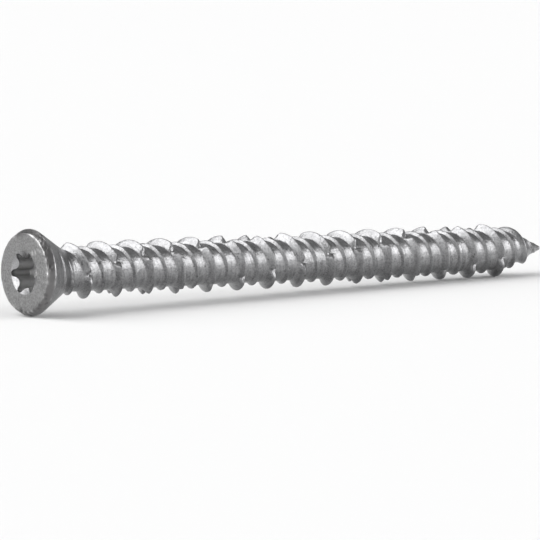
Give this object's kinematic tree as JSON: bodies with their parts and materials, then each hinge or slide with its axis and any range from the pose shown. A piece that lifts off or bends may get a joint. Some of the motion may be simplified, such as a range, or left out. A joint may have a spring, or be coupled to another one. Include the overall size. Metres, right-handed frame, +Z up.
{
  "type": "concrete screw",
  "caption": "Countersunk concrete screw with a hexalobular drive recess, alternating tall and low threads with cutting notches, and a sharp point, lying at rest.",
  "frame": {"origin": "on the surface the screw lies on, at the middle of its length and width", "axes": "+X along the screw from its head towards its point, dipping by the rest angle; +Z up from the surface; +Y to the left of the point's direction"},
  "size_m": [0.0914, 0.0118, 0.0117],
  "materials": {
    "zinc_coated_steel": "satin zinc coating"
  },
  "bodies": {
    "root": {"screw": "zinc_coated_steel"}
  },
  "joints": []
}
